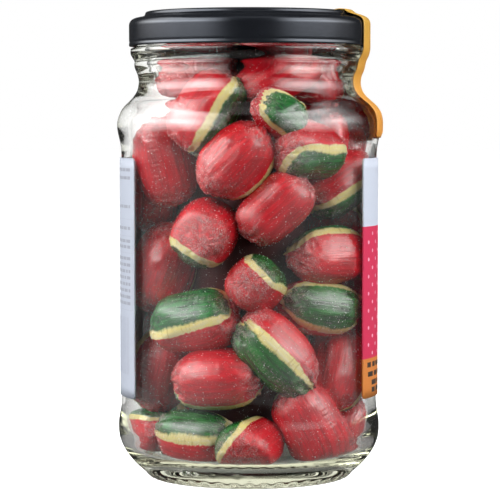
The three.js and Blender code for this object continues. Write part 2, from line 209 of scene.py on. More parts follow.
# Glow of the curved softbox by azimuth in degrees, a left and a right lobe and a dark gap in
# front: at the height that the upright glass mirrors, and above it. Then the upper part's
# share by height in metres.
SWEEP_LOW = [
    (-135, 0.08), (-114, 0.15), (-97, 0.30), (-83, 0.45), (-70, 0.62), (-59, 0.85), (-47, 0.80),
    (-37, 0.50), (-26, 0.16), (-16, 0.04), (-6, 0.0), (8, 0.0), (16, 0.05), (24, 0.22), (35, 0.45),
    (57, 0.56), (68, 0.50), (81, 0.30), (95, 0.18), (111, 0.14), (135, 0.08),
]
SWEEP_HIGH = [
    (-135, 0.0), (-122, 0.25), (-105, 0.7), (-90, 1.0), (-46, 1.0), (-32, 0.5), (-20, 0.0), (26, 0.0),
    (36, 0.45), (48, 0.85), (82, 0.85), (96, 0.4), (112, 0.1), (124, 0.0), (135, 0.0),
]
SWEEP_RISE = [
    (-0.15, 0.0), (0.14, 0.0), (0.22, 0.45), (0.34, 1.0), (0.46, 1.0), (0.60, 0.55),
    (0.85, 0.55), (1.05, 0.75), (1.25, 0.1),
]


# ---- what a user may change ----
def colour(name, description, default):
    """A colour property."""
    return FloatVectorProperty(name=name, description=description, default=default, subtype="COLOR", size=3,
                               min=0.0, max=1.0)


def metres(name, description, default):
    """A length in metres."""
    return FloatProperty(name=name, description=description, default=default, unit="LENGTH")


def number(name, description, default):
    """A plain number."""
    return FloatProperty(name=name, description=description, default=default)


class SweetJarGlass(bpy.types.PropertyGroup):
    """The jar's glass."""

    sides: IntProperty(name="Sides", description="Facets round the jar", default=320, min=64)
    inner_wave: metres("Inner wave", "Unevenness of the inner wall", 0.00014)
    outer_wave: metres("Outer wave", "Unevenness of the outer wall", 0.00004)
    tint: colour("Tint", "Colour that thick glass takes", (0.86, 0.87, 0.72))
    density: number("Density", "How fast thick glass takes its tint", 30.0)


class SweetJarSweets(bpy.types.PropertyGroup):
    """The boiled sweets."""

    length: metres("Length", "Along the stripes", 0.0245)
    width: metres("Width", "Across the stripes", 0.0173)
    depth: metres("Depth", "From rind to crown", 0.0165)
    crumbs: IntProperty(name="Crumbs", description="Sugar crumbs on the sweets", default=24000, min=0)
    dust: IntProperty(name="Dust", description="Grains stuck to the glass", default=16000, min=0)
    red: colour("Red", "Body of a sweet", (0.70, 0.003, 0.016))
    deep_red: colour("Deep red", "Darker streaks", (0.36, 0.001, 0.008))
    cream: colour("Cream", "Band between body and rind", (0.80, 0.66, 0.24))
    green: colour("Green", "Rind", (0.008, 0.185, 0.024))
    deep_green: colour("Deep green", "Darker streaks of the rind", (0.003, 0.046, 0.012))
    sugar: colour("Sugar", "Sugar dust", (0.78, 0.74, 0.74))


class SweetJarPaper(bpy.types.PropertyGroup):
    """Labels and seal strip."""

    white: colour("White", "Label paper", (0.61, 0.66, 0.77))
    pink: colour("Pink", "Dotted field", (0.67, 0.034, 0.10))
    orange: colour("Orange", "Foot of the front label", (0.68, 0.23, 0.052))
    ink: colour("Ink", "Ruled lines and bars", (0.12, 0.13, 0.16))
    amber: colour("Amber", "Seal strip, upper part", (0.64, 0.37, 0.055))
    dark_amber: colour("Dark amber", "Seal strip, lower part", (0.80, 0.34, 0.06))


class SweetJarStage(bpy.types.PropertyGroup):
    """Camera, floor and light."""

    lens: number("Lens", "Focal length on a 36 mm sensor", 169.2)
    pitch: FloatProperty(name="Pitch", description="How far the camera looks down", default=math.radians(3.045),
                         subtype="ANGLE")
    low_light: number("Low light", "Radiance of the sweep at eye height", 0.7)
    high_light: number("High light", "Radiance of the sweep's upper part", 9.8)
    key_light: number("Key light", "Radiance of the overhead softbox", 0.45)
    floor_lift: number("Floor lift", "Glow that whitens the floor", 1.0)
    back_light: number("Back light", "Radiance of the backdrop card", 1.15)
    ambient: number("Ambient", "Radiance of the dim studio", 0.04)


# ---- curves and surfaces ----
def rounded(points, spacing):
    """A smooth curve through profile points.

    Each coordinate is a cubic in the chord length, whose slope at a point is the harmonic
    mean of the slopes either side and zero where they differ in sign, so that straight
    stretches stay straight and nothing overshoots. It is sampled about every spacing mm.
    """
    knots = np.asarray(points, float)
    chords = np.linalg.norm(np.diff(knots, axis=0), axis=1)
    at = np.concatenate([[0.0], np.cumsum(chords)])
    secants = np.diff(knots, axis=0) / chords[:, None]
    before, after = secants[:-1], secants[1:]
    product = before * after
    mean = np.where(product > 0, 2 * product / np.where(product > 0, before + after, 1.0), 0.0)
    slopes = np.vstack([secants[:1], mean, secants[-1:]])
    counts = np.clip(np.ceil(chords / spacing).astype(int), 1, 40)
    samples = np.concatenate([
        np.linspace(at[i], at[i + 1], counts[i], endpoint=False) for i in range(len(chords))
    ] + [at[-1:]])
    span = np.clip(np.searchsorted(at, samples, side="right") - 1, 0, len(chords) - 1)
    t = ((samples - at[span]) / chords[span])[:, None]
    h = chords[span][:, None]
    start, end = knots[span], knots[span + 1]
    lead, trail = slopes[span], slopes[span + 1]
    return (start * (1 + 2 * t) * (1 - t) ** 2 + h * lead * t * (1 - t) ** 2
            + end * t**2 * (3 - 2 * t) + h * trail * t**2 * (t - 1))


def eased(curve, reach, zones):
    """A curve averaged along its length by a Gaussian, reach mm wide, where its height is in a zone.

    A zone is (from, to) in mm and fades in and out over 3 mm.
    """
    lengths = np.linalg.norm(np.diff(curve, axis=0), axis=1)
    at = np.concatenate([[0.0], np.cumsum(lengths)])
    weight = np.exp(-(((at[:, None] - at[None, :]) / reach) ** 2) / 2) * np.gradient(at)[None, :]
    smooth = weight @ curve / weight.sum(axis=1)[:, None]
    z = curve[:, 1]
    share = sum(np.clip((z - low) / 3, 0, 1) * np.clip((high - z) / 3, 0, 1) for low, high in zones)
    return curve + share[:, None] * (smooth - curve)


def grid_quads(rows, columns, wrap_rows=False, wrap_columns=False):
    """Corner numbers of the quads of a rows by columns grid; a wrapped side joins last to first."""
    row = np.arange(rows if wrap_rows else rows - 1)
    column = np.arange(columns if wrap_columns else columns - 1)
    row, column = np.meshgrid(row, column, indexing="ij")
    next_row = (row + 1) % rows
    next_column = (column + 1) % columns
    corners = [row * columns + column, next_row * columns + column,
               next_row * columns + next_column, row * columns + next_column]
    return np.stack(corners, axis=-1).reshape(-1, 4)


def placed(name, data):
    """A new object in the scene's collection."""
    thing = bpy.data.objects.new(name, data)
    bpy.context.scene.collection.objects.link(thing)
    return thing


def make_mesh(name, points, faces, smooth=True, **attributes):
    """A mesh from points in millimetres and lists of faces, with named per-point attributes."""
    mesh = bpy.data.meshes.new(name)
    corners = [face for block in faces for face in np.asarray(block).tolist()]
    mesh.from_pydata((np.asarray(points) * MM).tolist(), [], corners)
    mesh.polygons.foreach_set("use_smooth", np.full(len(mesh.polygons), smooth))
    for label, values in attributes.items():
        values = np.asarray(values, float)
        kind = "FLOAT_VECTOR" if values.ndim == 2 else "FLOAT"
        field = "vector" if values.ndim == 2 else "value"
        layer = mesh.attributes.new(label, kind, "POINT")
        layer.data.foreach_set(field, values.ravel())
    mesh.update()
    return mesh


def add_piece(name, shape, material, slot, *replaces, smooth=True, **attributes):
    """Makes a (points, faces) shape a piece that rides on the jar and hides the solids it stands for; the slot is
    not used.
    """
    mesh = make_mesh(name, *shape, smooth=smooth, **attributes)
    mesh.materials.append(material)
    piece = placed(name, mesh)
    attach(piece, BODY)
    if replaces:
        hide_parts(*replaces)


def turned(profile, sides):
    """Points and faces of a profile turned about Z: x and y are the radius times the cosine and sine of an
    angle from +X.

    The profile starts and ends on the axis, or closes on itself. Points on the axis are single.
    """
    profile = np.asarray(profile, float)
    on_axis = profile[:, 0] < 1e-6
    ring = profile[~on_axis]
    angle = 2 * np.pi * np.arange(sides) / sides
    points = np.stack([
        np.outer(np.cos(angle), ring[:, 0]),
        np.outer(np.sin(angle), ring[:, 0]),
        np.tile(ring[:, 1], (sides, 1)),
    ], axis=-1).reshape(-1, 3)
    count = len(ring)
    faces = [grid_quads(sides, count, wrap_rows=True, wrap_columns=not on_axis.any())]
    here = np.arange(sides) * count
    there = (np.arange(sides) + 1) % sides * count
    if on_axis[0]:
        faces.append(np.stack([np.full(sides, len(points)), there, here], axis=1))
        points = np.vstack([points, [[0, 0, profile[0, 1]]]])
    if on_axis[-1]:
        faces.append(np.stack([np.full(sides, len(points)), here + count - 1, there + count - 1], axis=1))
        points = np.vstack([points, [[0, 0, profile[-1, 1]]]])
    return points, faces


def around(radius, azimuth, height):
    """Points: x is the radius times the sine of the azimuth in radians, y less the radius times its cosine."""
    return np.stack(np.broadcast_arrays(radius * np.sin(azimuth), -radius * np.cos(azimuth), height), axis=-1)


def patch(azimuths, heights, radius):
    """Points of a curved patch: every azimuth in degrees with every height, at a radius, as a grid."""
    return around(radius, *np.meshgrid(np.radians(azimuths), heights, indexing="ij"))


def shell(outer, inner):
    """Points and faces of a closed sheet between an outer and an inner grid of the same shape."""
    rows, columns = outer.shape[:2]
    count = rows * columns
    quads = grid_quads(rows, columns)
    edge = np.concatenate([
        np.arange(columns), np.arange(1, rows) * columns + columns - 1,
        (rows - 1) * columns + np.arange(columns - 2, -1, -1), np.arange(rows - 2, 0, -1) * columns,
    ])
    after = np.roll(edge, -1)
    rim = np.stack([edge, after, after + count, edge + count], axis=1)
    points = np.vstack([outer.reshape(-1, 3), inner.reshape(-1, 3)])
    return points, [quads, quads[:, ::-1] + count, rim]


def corner_inset(from_end, corner):
    """How far a quarter-circle corner draws a side in: c less the root of (c squared less the square of c less
    the distance from the end), where c is the corner's radius."""
    left = np.clip(corner - from_end, 0, None)
    return corner - np.sqrt(np.clip(corner**2 - left**2, 0, None))


def joined(parts):
    """Several (points, faces) as one: faces are renumbered behind the points before them."""
    points = np.vstack([part[0] for part in parts])
    starts = np.cumsum([0] + [len(part[0]) for part in parts[:-1]])
    faces = [np.asarray(block) + start for part, start in zip(parts, starts) for block in part[1]]
    return points, faces


# ---- materials ----
WHITE = (1.0, 1.0, 1.0)
BAND_RANGE = 130.0
PAPER_GRAIN = 0.03
STRIP_LOW, STRIP_HIGH = 94.0, 129.0


class Nodes:
    """A short hand for a material's node tree."""

    def __init__(self, name):
        self.material = bpy.data.materials.new(name)
        self.material.use_nodes = True
        self.tree = self.material.node_tree
        self.tree.nodes.clear()
        self.out = self.add("OutputMaterial")

    def plug(self, socket, value):
        """Links a socket to another or sets its value; a colour of three parts gets an alpha of 1."""
        if isinstance(value, bpy.types.NodeSocket):
            self.tree.links.new(value, socket)
        elif socket.type == "RGBA":
            socket.default_value = (*value, 1.0)[:4]
        else:
            socket.default_value = value

    def add(self, kind, inputs=None, **settings):
        """Adds a node with its settings; inputs maps socket names or numbers to values or other sockets."""
        node = self.tree.nodes.new("ShaderNode" + kind)
        for key, value in settings.items():
            setattr(node, key, value)
        for key, value in (inputs or {}).items():
            self.plug(node.inputs[key], value)
        return node

    def noise(self, vector, scale, detail=3.0, roughness=0.5, stretch=None):
        """Noise of a vector, which a Mapping node may stretch first."""
        if stretch is not None:
            vector = self.add("Mapping", {"Vector": vector, "Scale": stretch}).outputs[0]
        inputs = {"Vector": vector, "Scale": scale, "Detail": detail, "Roughness": roughness}
        return self.add("TexNoise", inputs).outputs["Fac"]

    def ramp(self, factor, stops, interpolation="LINEAR"):
        """A colour ramp with (position, colour) stops."""
        node = self.add("ValToRGB", {"Fac": factor})
        ramp = node.color_ramp
        ramp.interpolation = interpolation
        while len(ramp.elements) < len(stops):
            ramp.elements.new(1.0)
        for element, (position, value) in zip(ramp.elements, stops):
            element.position = position
            element.color = (*value, 1.0)
        return node.outputs["Color"]

    def graded(self, factor, *stops):
        """A grey ramp with (position, value) stops."""
        return self.ramp(factor, [(position, (value,) * 3) for position, value in stops])

    def mix(self, factor, first, second, blend="MIX"):
        """A colour mix; a factor of 0 is the first colour."""
        node = self.add("Mix", data_type="RGBA", blend_type=blend)
        for number, value in ((0, factor), (6, first), (7, second)):
            self.plug(node.inputs[number], value)
        return node.outputs[2]

    def masked(self, factor, low, high, first, second):
        """A colour that passes from the first to the second while the factor passes from low to high."""
        return self.mix(self.graded(factor, (low, 0.0), (high, 1.0)), first, second)

    def math(self, operation, *values, clamp=False):
        """A Math node."""
        node = self.add("Math", operation=operation, use_clamp=clamp)
        for socket, value in zip(node.inputs, values):
            self.plug(socket, value)
        return node.outputs[0]

    def times(self, first, second):
        """A product."""
        return self.math("MULTIPLY", first, second)

    def plus(self, first, second):
        """A sum."""
        return self.math("ADD", first, second)

    def bump(self, height, distance, strength=1.0, normal=None):
        """A bump of a height in mm."""
        inputs = {"Height": height, "Distance": distance * MM, "Strength": strength}
        if normal is not None:
            inputs["Normal"] = normal
        return self.add("Bump", inputs).outputs[0]

    def position(self):
        """Object coordinates in metres."""
        return self.add("TexCoord").outputs["Object"]

    def height(self):
        """Height in metres."""
        return self.add("SeparateXYZ", {0: self.position()}).outputs[2]

    def attribute(self, name, output="Fac"):
        """A per-point attribute."""
        return self.add("Attribute", attribute_name=name).outputs[output]

    def shader(self, kind, inputs):
        """The output of a shader node."""
        return self.add(kind, inputs).outputs[0]

    def finish(self, shader):
        """Connects the shader and returns the material."""
        self.plug(self.out.inputs["Surface"], shader)
        return self.material

    def principled(self, inputs):
        """Finishes with one Principled shader."""
        return self.finish(self.shader("BsdfPrincipled", inputs))


def glass_material(name):
    """Clear moulded glass that lets lamps through, with specks of sugar dust where the inside attribute is 1."""
    props = bpy.context.scene.sweet_jar_glass
    nodes = Nodes(name)
    ripple = nodes.noise(nodes.position(), 60.0, 2.0, stretch=(1.0, 1.0, 0.35))
    body = nodes.shader("BsdfPrincipled", {
        "Base Color": WHITE, "Roughness": 0.0, "IOR": 1.46, "Transmission Weight": 1.0,
        "Normal": nodes.bump(ripple, 0.12, 0.35),
    })
    cloud = nodes.noise(nodes.position(), 55.0, 6.0, 0.65)
    speck = nodes.noise(nodes.position(), 2600.0, 2.0, 0.5)
    spots = nodes.times(nodes.graded(speck, (0.66, 0.0), (0.72, 0.5)), nodes.graded(cloud, (0.45, 0.0), (0.65, 1.0)))
    dust = nodes.shader("BsdfDiffuse", {"Color": (0.85, 0.84, 0.86), "Roughness": 0.5})
    body = nodes.shader("MixShader", {0: nodes.times(spots, nodes.attribute("inside")), 1: body, 2: dust})
    rays = nodes.add("LightPath").outputs
    lamp_ray = nodes.math("MAXIMUM", rays["Is Shadow Ray"], rays["Is Diffuse Ray"])
    through = nodes.shader("BsdfTransparent", {"Color": (0.93, 0.95, 0.93)})
    absorb = nodes.shader("VolumeAbsorption", {"Color": props.tint, "Density": props.density})
    nodes.plug(nodes.out.inputs["Volume"], absorb)
    return nodes.finish(nodes.shader("MixShader", {0: lamp_ray, 1: body, 2: through}))


def sweet_material(name):
    """Boiled sugar: a red body, a cream band and a green rind by the rind attribute, pulled in long streaks."""
    props = bpy.context.scene.sweet_jar_sweets
    nodes = Nodes(name)
    grain = nodes.attribute("grain", "Vector")
    rind = nodes.attribute("rind")
    tint = nodes.attribute("tint")
    worn = nodes.attribute("worn")
    wander = nodes.noise(grain, 2.2, 3.0, stretch=(1.0, 1.0, 0.6))
    edge = nodes.plus(rind, nodes.times(nodes.math("SUBTRACT", wander, 0.5), 0.22))
    teeth = nodes.noise(grain, 12.0, 3.0, 0.7, stretch=(0.3, 0.3, 1.0))
    edge = nodes.plus(edge, nodes.times(nodes.math("SUBTRACT", teeth, 0.5), 0.12))
    streak = nodes.noise(grain, 11.0, 4.0, 0.65, stretch=(1.0, 1.0, 0.045))
    fine = nodes.noise(grain, 22.0, 3.0, 0.6, stretch=(1.0, 1.0, 0.05))
    patchy = nodes.noise(grain, 1.8, 4.0, 0.6)
    pulled = nodes.plus(nodes.times(streak, 0.65), nodes.times(patchy, 0.35))
    red = nodes.masked(pulled, 0.40, 0.58, props.deep_red, props.red)
    red = nodes.mix(nodes.times(nodes.graded(fine, (0.50, 0.0), (0.68, 1.0)), 0.40),
                    red, (0.74, 0.012, 0.030))
    green = nodes.masked(pulled, 0.42, 0.62, props.deep_green, props.green)
    cream = nodes.masked(streak, 0.4, 0.65, props.cream, (0.76, 0.66, 0.38))
    cracks = nodes.noise(grain, 15.0, 2.0, 0.6, stretch=(0.12, 0.3, 1.0))
    cream = nodes.mix(nodes.times(nodes.graded(cracks, (0.58, 0.0), (0.66, 1.0)), 0.55),
                      cream, (0.46, 0.30, 0.07))
    body = nodes.masked(edge, 0.69, 0.75, nodes.masked(edge, 0.44, 0.48, red, cream), green)
    body = nodes.mix(nodes.times(tint, 0.45), body, nodes.mix(0.45, body, (0.06, 0.0, 0.0)))
    frost = nodes.noise(grain, 16.0, 6.0, 0.75)
    crumbs = nodes.noise(grain, 34.0, 3.0, 0.6)
    crumb_share = nodes.times(nodes.graded(crumbs, (0.46, 0.0), (0.62, 0.62)), worn)
    frost_share = nodes.math("ADD", nodes.graded(frost, (0.58, 0.0), (0.74, 0.09)), crumb_share, clamp=True)
    body = nodes.mix(frost_share, body, (0.72, 0.50, 0.50))
    height = nodes.plus(streak, nodes.times(fine, 0.45))
    normal = nodes.bump(height, 0.17, 1.0)
    rugged = nodes.times(crumbs, nodes.plus(worn, 0.05))
    normal = nodes.bump(rugged, 0.45, 1.0, normal)
    gloss = nodes.graded(patchy, (0.35, 0.14), (0.65, 0.27))
    return nodes.principled({
        "Base Color": body, "Roughness": gloss, "Normal": normal, "IOR": 1.5, "Specular IOR Level": 0.85,
        "Subsurface Weight": 0.12, "Subsurface Radius": (1.0, 0.25, 0.2), "Subsurface Scale": 0.0012,
    })


def sugar_material(name):
    """White sugar crumbs, faintly glassy."""
    props = bpy.context.scene.sweet_jar_sweets
    nodes = Nodes(name)
    shade = nodes.noise(nodes.position(), 900.0, 2.0)
    body = nodes.mix(shade, props.sugar, (0.92, 0.90, 0.90))
    return nodes.principled({
        "Base Color": body, "Roughness": 0.35, "Subsurface Weight": 0.3, "Subsurface Radius": (1.0, 0.9, 0.9),
        "Subsurface Scale": 0.0004,
    })


def core_material(name):
    """The dark inside of the heap, red and green lost in shade."""
    nodes = Nodes(name)
    patchy = nodes.noise(nodes.position(), 90.0, 3.0)
    body = nodes.mix(patchy, (0.090, 0.002, 0.006), (0.016, 0.003, 0.003))
    return nodes.principled({"Base Color": body, "Roughness": 0.8})


def enamel_material(name):
    """Black satin enamel on sheet metal, with a fine orange peel."""
    nodes = Nodes(name)
    peel = nodes.noise(nodes.position(), 2600.0, 2.0)
    smudge = nodes.noise(nodes.position(), 120.0, 4.0)
    return nodes.principled({
        "Base Color": nodes.mix(smudge, (0.006, 0.007, 0.009), (0.010, 0.011, 0.014)),
        "Roughness": nodes.graded(smudge, (0.3, 0.20), (0.7, 0.28)),
        "Normal": nodes.bump(peel, 0.02, 0.25), "IOR": 1.5, "Coat Weight": 0.2, "Coat Roughness": 0.12,
        # Painted light: the blue specular tint gives the lid's reflections of the white lamps a cool blue-grey cast.
        "Specular Tint": (0.78, 0.86, 1.0),
    })


def paper_material(name, bands):
    """Coated paper whose colour steps with height: bands are (height in mm from which it holds, colour)."""
    nodes = Nodes(name)
    height = nodes.height()
    share = nodes.math("DIVIDE", height, BAND_RANGE * MM)
    print_colour = nodes.ramp(share, [(low / BAND_RANGE, value) for low, value in bands], "CONSTANT")
    fibres = nodes.noise(nodes.position(), 1500.0, 4.0)
    cloud = nodes.noise(nodes.position(), 70.0, 3.0)
    body = nodes.mix(nodes.times(cloud, 0.10), print_colour, (1.0, 1.0, 1.0), "MULTIPLY")
    body = nodes.mix(nodes.times(fibres, 0.08), body, (0.5, 0.5, 0.5), "MULTIPLY")
    return nodes.principled({
        "Base Color": body, "Roughness": 0.48, "Normal": nodes.bump(fibres, PAPER_GRAIN, 0.4), "IOR": 1.45,
    })


def strip_material(name):
    """Amber seal paper that darkens down the jar."""
    props = bpy.context.scene.sweet_jar_paper
    nodes = Nodes(name)
    height = nodes.height()
    share = nodes.add("MapRange", {0: height, 1: STRIP_LOW * MM, 2: STRIP_HIGH * MM}).outputs[0]
    fibres = nodes.noise(nodes.position(), 1300.0, 4.0)
    body = nodes.mix(share, props.dark_amber, props.amber)
    body = nodes.mix(nodes.times(fibres, 0.18), body, (0.6, 0.5, 0.4), "MULTIPLY")
    return nodes.principled({
        "Base Color": body, "Roughness": 0.42, "Normal": nodes.bump(fibres, PAPER_GRAIN, 0.5), "IOR": 1.45,
    })


def ink_material(name, value):
    """Printed ink, very slightly broken by the paper."""
    nodes = Nodes(name)
    fibres = nodes.noise(nodes.position(), 1800.0, 3.0)
    paler = tuple(min(1.0, part * 1.25 + 0.02) for part in value)
    return nodes.principled({
        "Base Color": nodes.mix(fibres, tuple(value), paler), "Roughness": 0.5,
    })


# ---- the heap's layout, as in the solids ----
class Draw:
    """A repeatable run of numbers from 0 to 1: each is the last times 1664525 plus 1013904223, modulo 2^32."""

    def __init__(self, seed):
        self.seed = seed

    def __call__(self):
        self.seed = (self.seed * 1664525 + 1013904223) % 4294967296
        return self.seed / 4294967296


def room_radius(z):
    """The jar's inner radius at heights z, by straight lines between profile points, less the wall gap."""
    wall = np.array(GLASS_INSIDE[:-1][::-1])
    return np.interp(z, wall[:, 1][1:], wall[:, 0][1:]) - WALL_GAP


def direction(tilt, turn):
    """A unit vector with a tilt above the horizontal and a turn away from the picture plane."""
    up, yaw = math.radians(tilt), math.radians(turn)
    return np.array([math.cos(up) * math.cos(yaw), math.cos(up) * math.sin(yaw), math.sin(up)])


def starting_heap():
    """Centres, axes, lines of sight, green faces and sizes: the seen sweets on their lines of sight, then the fill.

    A fill sweet's line is zero, as it may move any way.
    """
    centres, axes, lines, faces, sizes = [], [], [], [], []
    for across, up, tilt, turn, inset, face, size in SEEN_SWEETS:
        x, y, z = 0.0, 0.0, 0.0
        for _ in range(20):
            near = (CAMERA_DISTANCE + y) / CAMERA_DISTANCE
            x = across * near
            z = CAMERA_HEIGHT + (up - CAMERA_HEIGHT) * near
            reach = float(room_radius(z)) - BALL_RADIUS * size - inset
            y = -math.sqrt(max(reach**2 - x**2, 1.0))
        centres.append((x, y, z))
        axes.append(direction(tilt, turn))
        line = np.array([x, CAMERA_DISTANCE + y, z - CAMERA_HEIGHT])
        lines.append(line / np.linalg.norm(line))
        faces.append(face)
        sizes.append(size)
    draw = Draw(20117)
    turn_draw = Draw(977)
    for _ in range(FILL_TRIES):
        z = FILL_BOTTOM + BALL_RADIUS + draw() * (FILL_TOP - FILL_BOTTOM - 2 * BALL_RADIUS)
        reach = float(room_radius(z)) - BALL_RADIUS
        radius = reach * (1.0 if draw() < 0.7 else draw() * 0.5)
        azimuth = 2 * math.pi * draw()
        tilt = draw() * 180
        turn = draw() * 180
        spot = np.array([radius * math.sin(azimuth), -radius * math.cos(azimuth), z])
        apart = np.linalg.norm(np.array(centres) - spot, axis=1)
        seen = np.arange(len(centres)) < len(SEEN_SWEETS)
        bare = spot[0] < BARE_SIDE and spot[2] > BARE_HEIGHT
        if not bare and np.all(apart > np.where(seen, SEEN_SPACING, FILL_SPACING)):
            centres.append(spot)
            axes.append(direction(tilt, turn))
            lines.append(np.zeros(3))
            faces.append(360.0 * turn_draw())
            sizes.append(1.0)
    return [np.array(values, float) for values in (centres, axes, lines, faces, sizes)]


def settle(centres, axes, lines, sizes):
    """Each sweet is three balls in a row; balls of two sweets push apart by half their overlap, walls push in.

    A seen sweet keeps its axis, slides only along its line of sight, and a spring holds it near its start.
    """
    starts = centres
    loose = (np.abs(lines).sum(axis=1) == 0)[:, None]
    ends = np.tile([-1.0, 0.0, 1.0], len(centres))
    owner = np.repeat(np.arange(len(centres)), 3)
    other_sweet = owner[:, None] != owner[None, :]
    ball = BALL_RADIUS * sizes[owner]
    touching = ball[:, None] + ball[None, :]
    for _ in range(SETTLE_STEPS):
        balls = centres[owner] + axes[owner] * (ends * BALL_SPACING * sizes[owner])[:, None]
        gap = balls[:, None, :] - balls[None, :, :]
        apart = np.linalg.norm(gap, axis=2)
        overlap = np.where(other_sweet, np.clip(touching - apart, 0, None), 0.0) / 2
        push = np.sum(gap * (overlap / np.maximum(apart, 0.01))[:, :, None], axis=1)
        radius = np.hypot(balls[:, 0], balls[:, 1])
        out = np.clip(radius - (room_radius(balls[:, 2]) - ball), 0, None) / np.maximum(radius, 0.01)
        push[:, :2] -= out[:, None] * balls[:, :2]
        push[:, 2] += np.clip(FILL_BOTTOM + ball - balls[:, 2], 0, None)
        push[:, 2] -= np.clip(balls[:, 2] - (FILL_TOP - ball), 0, None)
        push = push.reshape(-1, 3, 3)
        shift = push.sum(axis=1)
        along = lines * np.sum(lines * (shift + SETTLE_HOLD * (starts - centres)), axis=1)[:, None]
        centres = centres + SETTLE_SHIFT * np.where(loose, shift, along)
        axes = axes + (SETTLE_TURN * SETTLE_SHIFT / BALL_SPACING) * loose * (push[:, 2] - push[:, 0])
        axes /= np.linalg.norm(axes, axis=1)[:, None]
    return centres, axes


def rough(rng, rows, columns, size):
    """A smooth random field on a grid that wraps round its columns: white noise blurred by a Gaussian in
    frequency, size grid steps wide, scaled to a spread of 1."""
    noise = rng.normal(size=(rows, columns))
    along, around = np.meshgrid(np.fft.fftfreq(rows), np.fft.fftfreq(columns), indexing="ij")
    blurred = np.fft.ifft2(np.fft.fft2(noise) * np.exp(-2 * (np.pi * size) ** 2 * (along**2 + around**2))).real
    return blurred / max(blurred.std(), 1e-9)


def end_profile(length_power, side_power, count):
    """Half of a sweet's outline from its middle to its tip, as (along, swell) shares, even in arc length.

    It is the curve where along to the length power plus swell to the side power is 1.
    """
    angle = np.linspace(0, np.pi / 2, 400)
    along = np.sin(angle) ** (2 / length_power)
    swell = np.cos(angle) ** (2 / side_power)
    swell[-1] = 0.0
    arc = np.concatenate([[0.0], np.cumsum(np.hypot(1.45 * np.diff(along), np.diff(swell)))])
    at = np.linspace(0, arc[-1], count)
    return np.interp(at, arc, along), np.interp(at, arc, swell)


